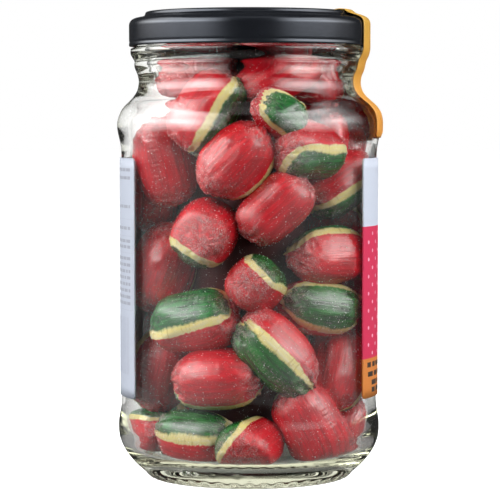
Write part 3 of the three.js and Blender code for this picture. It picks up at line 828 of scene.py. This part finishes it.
def sweet_surface(rng, centre, axis, green, size, blunt, rows, columns):
    """One boiled sweet as (points, faces, attributes); blunt raises the power of its ends.

    Row by row along the axis, the section is a squared-off circle times the swell of the two
    end profiles. Each end is pinched: the section narrows across one line by a share that grows
    with along to the power 6, and crumbles. Two combs of short grooves run along it, one side
    may have a shallow valley, and random fields dent the whole.
    """
    props = bpy.context.scene.sweet_jar_sweets
    end_on = abs(axis[1]) > 0.75
    half_length = props.length / MM / 2 * size * rng.uniform(0.95, 1.06)
    half_width = props.width / MM / 2 * size * rng.uniform(0.94, 1.0)
    half_depth = props.depth / MM / 2 * size * rng.uniform(0.94, 1.02)
    half = rows // 2
    ends = [end_profile(rng.uniform(2.3, 3.3) + blunt, rng.uniform(2.0, 2.8), half + 1) for _ in range(2)]
    along_row = np.concatenate([-ends[0][0][1:-1][::-1], [0.0], ends[1][0][1:-1]])
    swell_row = np.concatenate([ends[0][1][1:-1][::-1], [1.0], ends[1][1][1:-1]])
    rows = len(along_row)
    angle = 2 * np.pi * np.arange(columns) / columns
    along, a = np.meshgrid(along_row, angle, indexing="ij")
    swell = np.repeat(swell_row[:, None], columns, axis=1)
    square = rng.uniform(0.80, 0.95)
    across = np.sign(np.cos(a)) * np.abs(np.cos(a)) ** square
    deep = np.sign(np.sin(a)) * np.abs(np.sin(a)) ** square
    end = np.abs(along) ** 6
    crumbly = np.clip((0.92 - swell) / 0.25, 0, 1)
    pinch_angle = rng.uniform(0, np.pi) + np.where(along < 0, rng.uniform(-0.5, 0.5), 0.0)
    pinch_share = np.where(along < 0, rng.uniform(0.1, 0.55), rng.uniform(0.1, 0.55))
    x, y = across * swell, deep * swell
    over = x * np.sin(pinch_angle) - y * np.cos(pinch_angle)
    x = x - pinch_share * end * over * np.sin(pinch_angle)
    y = y + pinch_share * end * over * np.cos(pinch_angle)
    relief = DENT_DEPTH * rough(rng, rows, columns, rows / 9)
    crumb = rough(rng, rows, columns, 0.75)
    ragged = rng.uniform(0.2, 1.1) * (0.4 if end_on else 1.0)
    relief += crumb * (0.02 + 0.24 * crumbly * ragged)
    folds = rng.integers(9, 15)
    relief += FOLD_DEPTH * crumbly * np.cos(folds * a + rng.uniform(0, 6)) * ragged
    combs = 0.0
    for _ in range(2):
        turn = np.angle(np.exp(1j * (a - rng.uniform(0, 2 * np.pi) - 0.15 * along)))
        combs = np.maximum(combs, np.exp(-((turn / COMB_WIDTH) ** 4)) * (np.abs(along) < 0.82))
    grooves = 0.5 + 0.5 * np.cos(along * half_length * 2 * np.pi / rng.uniform(1.3, 1.8))
    relief -= COMB_DEPTH * combs * grooves
    valley = np.angle(np.exp(1j * (a - rng.uniform(0, 2 * np.pi) + 0.3 * along)))
    relief -= rng.choice(VALLEY_DEPTHS) * np.exp(-((valley / VALLEY_WIDTH) ** 2)) * (1 - end)
    local = np.stack([
        half_width * x + relief * across * np.minimum(swell * 1.6, 1.0),
        half_depth * y + relief * deep * np.minimum(swell * 1.6, 1.0),
        half_length * along + 0.9 * relief * np.sign(along) * crumbly,
    ], axis=-1)
    lean = rng.uniform(-0.12, 0.12, 2)
    local[..., 2] += end * (lean[0] * local[..., 0] + lean[1] * local[..., 1])
    local[..., 0] += rng.uniform(-0.6, 0.6) * along**2
    local = local.reshape(-1, 3)
    tip = np.array([local[:columns].mean(axis=0), local[-columns:].mean(axis=0)])
    local = np.vstack([local, tip])
    green = green - np.dot(green, axis) * axis
    green /= np.linalg.norm(green)
    side = np.cross(axis, green)
    points = centre + local[:, :1] * green + local[:, 1:2] * side + local[:, 2:] * axis
    quads = grid_quads(rows, columns, wrap_columns=True)[:, ::-1]
    turn = np.arange(columns)
    after = (turn + 1) % columns
    last = (rows - 1) * columns
    bottom = np.stack([np.full(columns, rows * columns), after, turn], axis=1)
    top = np.stack([np.full(columns, rows * columns + 1), turn + last, after + last], axis=1)
    floor = 0.80 if end_on else 0.40
    held = np.concatenate([np.maximum(swell, floor).ravel(), [floor, floor]])
    worn = np.clip(crumbly * (0.75 + 0.35 * crumb) + 0.35 * combs * (1 - grooves), 0, 1)
    attributes = {
        "rind": local[:, 0] / (half_width * held),
        "grain": local * 0.1 + rng.uniform(0, 40, 3),
        "worn": np.concatenate([worn.ravel(), [1.0, 1.0]]),
        "tint": np.full(len(local), rng.uniform(0, 1)),
    }
    return points, [quads, bottom, top], attributes


def keep_inside(points):
    """Draws points back inside the glass's profile without a crease: the radius r becomes the limit less a
    soft maximum of zero and the limit less r, and the height the floor plus one of zero and the rise."""
    def above_zero(value):
        return SOFT_STOP * np.logaddexp(0.0, value / SOFT_STOP)

    limit = room_radius(points[:, 2]) + WALL_GAP - SUGAR_GAP
    radius = np.hypot(points[:, 0], points[:, 1])
    inside = points.copy()
    inside[:, :2] *= ((limit - above_zero(limit - radius)) / np.maximum(radius, 0.01))[:, None]
    inside[:, 2] = FILL_BOTTOM + above_zero(points[:, 2] - FILL_BOTTOM)
    return inside


def grains(rng, spots, low, high):
    """Points and faces of tiny uneven crystals: an octahedron at each spot, its six corners pulled at random."""
    corners = np.array([[1, 0, 0], [-1, 0, 0], [0, 1, 0], [0, -1, 0], [0, 0, 1], [0, 0, -1]], float)
    faces = np.array([[0, 2, 4], [2, 1, 4], [1, 3, 4], [3, 0, 4], [2, 0, 5], [1, 2, 5], [3, 1, 5], [0, 3, 5]])
    count = len(spots)
    size = low + (high - low) * rng.random(count) ** 3
    pull = rng.uniform(0.6, 1.3, (count, 6, 1))
    points = spots[:, None, :] + corners[None] * pull * size[:, None, None]
    numbered = faces[None] + 6 * np.arange(count)[:, None, None]
    return points.reshape(-1, 3), [numbered.reshape(-1, 3)]


# ---- operators: one for each piece or group of like pieces ----
class SWEETJAR_OT_glass(bpy.types.Operator):
    """Make the glass jar"""

    bl_idname = "sweet_jar.glass"
    bl_label = "Glass jar"

    def execute(self, context):
        props = context.scene.sweet_jar_glass
        outside = eased(rounded(GLASS_OUTSIDE, OUTSIDE_STEP), OUTSIDE_EASE, OUTSIDE_ZONES)
        inside = eased(rounded([GLASS_OUTSIDE[-1], *GLASS_INSIDE], INSIDE_STEP), INSIDE_EASE, INSIDE_ZONES)[1:]
        profile = np.vstack([outside, inside])
        profile[[0, -1], 0] = 0.0
        points, faces = turned(profile, props.sides)
        azimuth = np.arctan2(points[:, 1], points[:, 0])
        z = points[:, 2]
        inner = np.tile(np.arange(1, len(profile) - 1) >= len(outside), props.sides)
        inner = np.concatenate([inner, [False, True]])
        wave = (np.sin(2 * azimuth + 0.07 * z + 1) + 0.6 * np.sin(3 * azimuth - 0.11 * z)
                + 0.5 * np.sin(5 * azimuth + 0.19 * z + 2) + 0.35 * np.sin(8 * azimuth - 0.3 * z))
        beads = np.clip(np.cos(RING_BEADS * azimuth), 0, 1) * np.exp(-(((z - 0.6) / 0.7) ** 2)) * ~inner
        finish = np.clip((112.0 - z) / 10.0, 0.0, 1.0)
        amount = np.where(inner, props.inner_wave, props.outer_wave * np.clip(z / 10, 0, 1)) / MM * finish
        radius = np.maximum(np.hypot(points[:, 0], points[:, 1]), 1e-6)
        shift = amount * wave * np.clip(radius / 30, 0, 1) + BEAD_RISE * beads * (radius > RING_OUTER)
        for across, height in HEEL_BUMPS:
            side = np.arcsin(across / radius.clip(abs(across) + 1)) - np.pi / 2
            off = np.angle(np.exp(1j * (azimuth - side))) * radius
            shift += BUMP_RISE * np.exp(-((off / 0.55) ** 2 + ((z - height) / 0.5) ** 2)) * ~inner
        points[:, :2] *= (1 + shift / radius)[:, None]
        dusted = inner & (points[:, 2] < FILM_TOP)
        add_piece("jar_glass_moulded", (points, faces), glass_material("clear_glass"), "clear_glass", "jar_glass",
                  inside=dusted)
        return {"FINISHED"}


class SWEETJAR_OT_lid(bpy.types.Operator):
    """Make the sheet metal lid"""

    bl_idname = "sweet_jar.lid"
    bl_label = "Lid"

    def execute(self, context):
        profile = np.vstack([rounded(LID_INSIDE, LID_INSIDE_STEP), rounded(LID_OUTSIDE, LID_OUTSIDE_STEP)])
        profile[[0, -1], 0] = 0.0
        add_piece("enamelled_lid", turned(profile, LID_SIDES), enamel_material("black_enamel"), "lid_enamel", "lid")
        return {"FINISHED"}


class SWEETJAR_OT_sweets(bpy.types.Operator):
    """Make the sweets, their core and the sugar crumbs on them"""

    bl_idname = "sweet_jar.sweets"
    bl_label = "Sweets"

    def execute(self, context):
        props = context.scene.sweet_jar_sweets
        centres, axes, lines, faces, sizes = starting_heap()
        centres, axes = settle(centres, axes, lines, sizes)
        rng = np.random.default_rng(4711)
        kinds = {"sweets_red_side": [], "sweets_striped_side": [], "sweets_green_side": []}
        viewer = np.array([0.0, -1.0, 0.0])
        for index, (centre, axis, face, size) in enumerate(zip(centres, axes, faces, sizes)):
            front = viewer - np.dot(viewer, axis) * axis
            front /= max(np.linalg.norm(front), 1e-6)
            beside = np.cross(axis, front)
            green = math.cos(math.radians(face)) * front + math.sin(math.radians(face)) * beside
            outer = math.hypot(centre[0], centre[1]) > OUTER_HEAP
            grid = SHOWN_GRID if index < len(SEEN_SWEETS) else OUTER_GRID if outer else INNER_GRID
            blunt = BLUNT_POWER if index in BLUNT_SWEETS else 0.0
            points, blocks, attributes = sweet_surface(rng, centre, axis, green, size, blunt, *grid)
            hidden = abs((face + 180) % 360 - 180)
            side = "red" if hidden > RED_SIDE_FROM else "striped" if hidden > STRIPED_SIDE_FROM else "green"
            kinds[f"sweets_{side}_side"].append((keep_inside(points), blocks, attributes))
        sugared = sweet_material("boiled_sugar")
        surface = []
        for kind, sweets in kinds.items():
            shape = joined([sweet[:2] for sweet in sweets])
            attributes = {key: np.concatenate([sweet[2][key] for sweet in sweets]) for key in sweets[0][2]}
            add_piece(kind, shape, sugared, "boiled_sugar", "sweets", **attributes)
            surface.append(shape[0])
        surface = np.vstack(surface)
        near = surface[np.hypot(surface[:, 0], surface[:, 1]) > CRUMB_RADIUS]
        spots = near[rng.integers(0, len(near), props.crumbs)] + rng.normal(0, CRUMB_SCATTER, (props.crumbs, 3))
        add_piece("sugar_crumbs", grains(rng, keep_inside(spots), *CRUMB_SIZES), sugar_material("sugar_crumb"),
                  "boiled_sugar", "sweets", smooth=False)
        add_piece("heap_core", turned(CORE_PROFILE, CORE_SIDES), core_material("shaded_sugar"), "boiled_sugar",
                  "sweets")
        return {"FINISHED"}


class SWEETJAR_OT_dust(bpy.types.Operator):
    """Make the grains of sugar stuck to the inside of the glass"""

    bl_idname = "sweet_jar.dust"
    bl_label = "Sugar dust"

    def execute(self, context):
        count = context.scene.sweet_jar_sweets.dust
        rng = np.random.default_rng(606)
        azimuth = rng.uniform(0, 2 * np.pi, count)
        z = rng.uniform(*DUST_HEIGHTS, count)
        spots = around(room_radius(z) + WALL_GAP - rng.uniform(*DUST_DEPTHS, count), azimuth, z)
        add_piece("sugar_dust", grains(rng, spots, *DUST_SIZES), sugar_material("sugar_dust"), "boiled_sugar",
                  smooth=False)
        return {"FINISHED"}


def label_sheet(start, end, bottom):
    """Points and faces of a label: a closed sheet round the jar with quarter-circle corners."""
    degrees_per_mm = math.degrees(1 / LABEL_FACE)
    length = (end - start) / degrees_per_mm
    ease = LABEL_CORNER * (1 - np.cos(np.linspace(0, np.pi / 2, 7)))
    straight = np.linspace(LABEL_CORNER, length - LABEL_CORNER, 90)[1:-1]
    at = np.concatenate([ease, straight, length - ease[::-1]])
    inset = corner_inset(np.minimum(at, length - at), LABEL_CORNER)
    azimuths = np.radians(start + at * degrees_per_mm)
    low, high = bottom + inset, LABEL_TOP - inset
    height = low[:, None] + (high - low)[:, None] * np.linspace(0, 1, 24)
    return shell(*[around(radius, azimuths[:, None], height) for radius in (LABEL_FACE, LABEL_BACK)])


def print_bars(bars):
    """Thin printed bars on a label: each is (azimuth, azimuth, height, height) in degrees and mm."""
    parts = []
    for start, end, low, high in bars:
        azimuths = np.linspace(start, end, max(2, int(abs(end - start) / 2.5) + 2))
        parts.append(shell(*[patch(azimuths, (low, high), radius)
                             for radius in (PRINT_FACE, PRINT_FACE - PRINT_DEPTH)]))
    return joined(parts)


def bar_row(start, stop, low, high, width, gap):
    """Bars side by side from a start azimuth until a stop azimuth is passed, either way round; width and gap
    are called for each bar."""
    way = 1 if stop > start else -1
    at, bars = start, []
    while way * (stop - at) > 0:
        wide = width()
        bars.append((*sorted((at, at + way * wide)), low, high))
        at += way * (wide + gap())
    return bars


def print_dots(azimuths, heights):
    """Round printed dots, each a flat disc with a rim, at paired azimuths and heights."""
    here = np.arange(DOT_SIDES)
    turn = 2 * np.pi * here / DOT_SIDES
    azimuth = np.radians(azimuths)[:, None] + DOT_RADIUS * np.cos(turn) / PRINT_FACE
    height = heights[:, None] + DOT_RADIUS * np.sin(turn)
    points = np.concatenate([around(radius, azimuth, height)
                             for radius in (PRINT_FACE, PRINT_FACE - PRINT_DEPTH)], axis=1)
    starts = 2 * DOT_SIDES * np.arange(len(points))[:, None]
    after = (here + 1) % DOT_SIDES
    rims = np.stack([here, here + DOT_SIDES, after + DOT_SIDES, after], axis=1)
    fronts = starts + here[None]
    backs = starts + here[None, ::-1] + DOT_SIDES
    return points.reshape(-1, 3), [fronts, backs, (rims[None] + starts[:, :, None]).reshape(-1, 4)]


class SWEETJAR_OT_labels(bpy.types.Operator):
    """Make both labels and their generic print"""

    bl_idname = "sweet_jar.labels"
    bl_label = "Labels"

    def execute(self, context):
        props = context.scene.sweet_jar_paper
        white, pink, orange = tuple(props.white), tuple(props.pink), tuple(props.orange)
        # Painted shade: the ruled label takes the same white paper darkened to 0.64 of it, a shaded copy of the
        # front label's white.
        shade_painted_white = tuple(0.64 * part for part in white)
        front = paper_material("dotted_label_paper", [(0, orange), (34.0, pink), (70.0, white)])
        add_piece("dotted_label", label_sheet(*FRONT_LABEL), front, "label_paper", "front_label")
        info = paper_material("ruled_label_paper", [(0, shade_painted_white), (60.0, shade_painted_white)])
        add_piece("ruled_label", label_sheet(*INFO_LABEL), info, "info_paper", "info_label")
        self.dots()
        self.info_print()
        self.foot_print()
        return {"FINISHED"}

    def printed(self, name, shape, ink, slot):
        """Adds print: ink is the name and colour of its material."""
        add_piece(name, shape, ink_material(*ink), slot, smooth=False)

    def dots(self):
        """Pale dots on the front label's pink field, every other column half a pitch higher."""
        columns = np.arange(*DOT_COLUMNS)
        rows = np.arange(*DOT_ROWS)
        azimuths = np.repeat(columns, len(rows))
        heights = np.concatenate([rows + (DOT_PITCH / 2 if index % 2 == 0 else 0) for index in range(len(columns))])
        keep = heights < DOT_TOP
        self.printed("label_dots", print_dots(azimuths[keep], heights[keep]), ("dot_ink", (0.85, 0.42, 0.52)),
                     "label_paper")

    def info_print(self):
        """A ruled table, rows of short grey bars and upright stripes: generic print on the info label."""
        rng = np.random.default_rng(31)
        left, right = INFO_LABEL[0] + 2.0, INFO_LABEL[1] - 1.6
        rules = [(left, right, z - 0.09, z + 0.09) for z in RULE_HEIGHTS]
        rules.append((right - 0.3, right, RULE_HEIGHTS[-1], RULE_HEIGHTS[0]))
        bars = []
        for low in [*BAR_HEIGHTS, *np.arange(48.6, 61.5, 1.75)]:
            bars += bar_row(right - 2.2, left + 8, low, low + 0.85,
                            lambda: rng.uniform(1.6, 5.5), lambda: rng.uniform(0.7, 1.4))
        stripes = bar_row(right - 4.0, right - 46, 29.5, 45.2,
                          lambda: rng.choice([0.35, 0.7, 1.1]), lambda: rng.choice([0.45, 0.8, 1.2]))
        self.printed("ruled_label_print", print_bars(rules + stripes), ("grey_ink", (0.30, 0.32, 0.38)),
                     "info_paper")
        self.printed("ruled_label_bars", print_bars(bars), ("dark_ink", (0.22, 0.23, 0.27)), "info_paper")

    def foot_print(self):
        """Short dark bars on the front label's orange foot."""
        rng = np.random.default_rng(12)
        bars = []
        for low, start in FOOT_ROWS:
            bars += bar_row(start, 150, low, low + 1.35,
                            lambda: rng.uniform(3.0, 8.0), lambda: rng.uniform(1.2, 2.2))
        self.printed("dotted_label_bars", print_bars(bars), ("black_ink", (0.035, 0.022, 0.015)), "label_paper")


class SWEETJAR_OT_seal(bpy.types.Operator):
    """Make the paper seal strip over the lid's side"""

    bl_idname = "sweet_jar.seal"
    bl_label = "Seal strip"

    def execute(self, context):
        path = rounded(STRIP_PATH, STRIP_STEP)
        run = np.gradient(path, axis=0)
        run /= np.linalg.norm(run, axis=1)[:, None]
        normal = np.stack([-run[:, 1], run[:, 0]], axis=1)
        length = np.concatenate([[0], np.cumsum(np.linalg.norm(np.diff(path, axis=0), axis=1))])
        inset = corner_inset(np.minimum(length, length[-1] - length), STRIP_CORNER)
        share = np.linspace(-1, 1, STRIP_COLUMNS)
        across = share[None, :] * (STRIP_WIDTH / 2 - inset)[:, None]
        ripple = 0.05 * np.sin(across * 0.9 + length[:, None] * 0.35) * np.abs(share)[None, :] ** 2
        grids = []
        for thickness in (STRIP_HALF_THICKNESS, -STRIP_HALF_THICKNESS):
            spot = path + normal * thickness
            bend = np.maximum(spot[:, 0], STRIP_FOLD)[:, None]
            ease = np.clip((spot[:, 0] - STRIP_FLAT) / (STRIP_FOLD - STRIP_FLAT), 0, 1)[:, None]
            fall = (bend - np.sqrt(bend**2 - across**2)) * (ease * ease * (3 - 2 * ease))
            grids.append(np.stack(np.broadcast_arrays(spot[:, :1] - fall + ripple, across, spot[:, 1:]), axis=-1))
        add_piece("amber_seal_strip", shell(*grids), strip_material("amber_paper"), "seal_paper", "seal_strip")
        return {"FINISHED"}


CAMERA_SWING = -0.00043
FLOOR_HALF = 8.0
SWEEP_RADIUS = 1000.0
CYCLES_SETTINGS = {
    "use_denoising": True, "max_bounces": 20, "transmission_bounces": 16, "glossy_bounces": 14,
    "diffuse_bounces": 3, "transparent_max_bounces": 16, "caustics_refractive": False, "caustics_reflective": False,
}


def flat_mesh(name, corners):
    """A mesh of one four-cornered face, in metres."""
    mesh = bpy.data.meshes.new(name)
    mesh.from_pydata(corners, [], [(0, 1, 2, 3)])
    return mesh


class SWEETJAR_OT_stage(bpy.types.Operator):
    """Make the camera, the pale floor and the soft studio light"""

    bl_idname = "sweet_jar.stage"
    bl_label = "Stage"

    def hang(self, mesh, nodes, strength):
        """Gives a mesh a white glow and hangs it as a light, seen only in reflections and through the glass."""
        mesh.materials.append(nodes.finish(nodes.shader("Emission", {"Color": WHITE, "Strength": strength})))
        light = placed(mesh.name, mesh)
        light.visible_camera = light.visible_shadow = False
        return light

    def card(self, name, azimuth, distance, width, height, centre, radiance, lean=0.0):
        """A glowing card that faces the jar from an azimuth, its top leant towards it."""
        angle, lean = math.radians(azimuth), math.radians(lean)
        away = np.array([math.sin(angle), -math.cos(angle), 0.0])
        beside = np.array([math.cos(angle), math.sin(angle), 0.0]) * width / 2
        up = (np.array([0, 0, math.cos(lean)]) - away * math.sin(lean)) * height / 2
        middle = away * distance + np.array([0, 0, centre])
        corners = np.array([middle - beside - up, middle + beside - up, middle + beside + up, middle - beside + up])
        return self.hang(flat_mesh(name, corners.tolist()), Nodes(name), radiance)

    def sweep(self, props):
        """A curved softbox round the front of the jar, a metre away: a dim band at the height that the
        upright glass mirrors, and brighter lobes above it."""
        first, last = SWEEP_LOW[0][0], SWEEP_LOW[-1][0]
        bottom, top = SWEEP_RISE[0][0], SWEEP_RISE[-1][0]
        azimuths, heights = np.linspace(first, last, 90), np.linspace(bottom, top, 33)
        azimuth, height = np.meshgrid(azimuths, heights, indexing="ij")
        mesh = make_mesh("softbox_sweep", patch(azimuths, heights / MM, SWEEP_RADIUS).reshape(-1, 3),
                         [grid_quads(len(azimuths), len(heights))],
                         across=((azimuth - first) / (last - first)).ravel(),
                         up=((height - bottom) / (top - bottom)).ravel())
        nodes = Nodes("softbox_sweep")

        def profile(name, table):
            start, end = table[0][0], table[-1][0]
            stops = [((at - start) / (end - start), value) for at, value in table]
            return nodes.graded(nodes.attribute(name), *stops)

        low = nodes.times(profile("across", SWEEP_LOW), props.low_light)
        high = nodes.times(profile("across", SWEEP_HIGH), props.high_light)
        band = nodes.times(low, nodes.graded(nodes.attribute("up"), (0.20, 1.0), (0.31, 0.0)))
        self.hang(mesh, nodes, nodes.plus(band, nodes.times(high, profile("up", SWEEP_RISE))))

    def camera(self, props):
        """The photo's camera: its distance and height, looking along +Y and a little down."""
        data = bpy.data.cameras.new("camera")
        data.lens = props.lens
        data.sensor_width = 36.0
        data.clip_end = 50.0
        camera = placed("camera", data)
        camera.location = (0.0, -CAMERA_DISTANCE * MM, CAMERA_HEIGHT * MM)
        camera.rotation_euler = (math.pi / 2 - props.pitch, 0.0, CAMERA_SWING)
        bpy.context.scene.camera = camera

    def floor(self, props):
        """A pale floor that glows to the camera and is darker in the glass's reflections."""
        corners = [(x * FLOOR_HALF, y * FLOOR_HALF, 0) for x, y in ((-1, -1), (1, -1), (1, 1), (-1, 1))]
        mesh = flat_mesh("floor", corners)
        nodes = Nodes("pale_floor")
        rays = nodes.add("LightPath").outputs
        straight = nodes.math("LESS_THAN", rays["Glossy Depth"], 0.5)
        pale = nodes.shader("BsdfDiffuse", {"Color": nodes.mix(straight, (0.30, 0.30, 0.30), (0.62, 0.62, 0.62))})
        lift = nodes.shader("Emission", {"Strength": nodes.times(rays["Is Camera Ray"], props.floor_lift)})
        mesh.materials.append(nodes.finish(nodes.shader("AddShader", {0: pale, 1: lift})))
        floor = placed("floor", mesh)
        floor.visible_glossy = floor.visible_diffuse = False

    def world(self, props):
        """A white studio to the camera and a dim one to every other ray."""
        world = bpy.data.worlds.new("studio")
        world.use_nodes = True
        world.cycles.sampling_method = "NONE"
        tree = world.node_tree
        tree.nodes.clear()
        path = tree.nodes.new("ShaderNodeLightPath")
        mixer = tree.nodes.new("ShaderNodeMixShader")
        out = tree.nodes.new("ShaderNodeOutputWorld")
        tree.links.new(path.outputs["Is Camera Ray"], mixer.inputs[0])
        for number, radiance in ((1, props.ambient), (2, 1.0)):
            background = tree.nodes.new("ShaderNodeBackground")
            background.inputs[0].default_value = (*WHITE, 1.0)
            background.inputs[1].default_value = radiance
            tree.links.new(background.outputs[0], mixer.inputs[number])
        tree.links.new(mixer.outputs[0], out.inputs[0])
        bpy.context.scene.world = world

    def execute(self, context):
        props = context.scene.sweet_jar_stage
        self.camera(props)
        self.floor(props)
        self.sweep(props)
        self.card("key_softbox", 10.0, 0.75, 1.3, 0.8, 1.25, props.key_light, 55.0)
        back = self.card("back_card", 180.0, 0.9, 1.7, 1.5, 0.74, props.back_light)
        back.visible_glossy = False
        self.world(props)
        context.scene.view_settings.view_transform = "Standard"
        context.scene.view_settings.look = "None"
        for setting, value in CYCLES_SETTINGS.items():
            setattr(context.scene.cycles, setting, value)
        return {"FINISHED"}


class SWEETJAR_PT_panel(bpy.types.Panel):
    """Lists the jar's pieces"""

    bl_idname = "SWEETJAR_PT_panel"
    bl_label = "Sweet Jar"
    bl_space_type = "VIEW_3D"
    bl_region_type = "UI"
    bl_category = "Sweet Jar"

    def draw(self, context):
        for operator in OPERATORS:
            self.layout.operator(operator.bl_idname)


OPERATORS = (
    SWEETJAR_OT_stage, SWEETJAR_OT_glass, SWEETJAR_OT_lid, SWEETJAR_OT_sweets, SWEETJAR_OT_dust,
    SWEETJAR_OT_labels, SWEETJAR_OT_seal,
)
GROUPS = {
    "sweet_jar_glass": SweetJarGlass,
    "sweet_jar_sweets": SweetJarSweets,
    "sweet_jar_paper": SweetJarPaper,
    "sweet_jar_stage": SweetJarStage,
}


def register():
    for name, group in GROUPS.items():
        bpy.utils.register_class(group)
        setattr(bpy.types.Scene, name, PointerProperty(type=group))
    for operator in OPERATORS:
        bpy.utils.register_class(operator)
    bpy.utils.register_class(SWEETJAR_PT_panel)


def unregister():
    bpy.utils.unregister_class(SWEETJAR_PT_panel)
    for operator in reversed(OPERATORS):
        bpy.utils.unregister_class(operator)
    for name, group in GROUPS.items():
        delattr(bpy.types.Scene, name)
        bpy.utils.unregister_class(group)


def main():
    """Registers the add-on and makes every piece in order."""
    register()
    bpy.ops.sweet_jar.stage()
    bpy.ops.sweet_jar.glass()
    bpy.ops.sweet_jar.lid()
    bpy.ops.sweet_jar.sweets()
    bpy.ops.sweet_jar.dust()
    bpy.ops.sweet_jar.labels()
    bpy.ops.sweet_jar.seal()


if __name__ == "__main__":
    main()
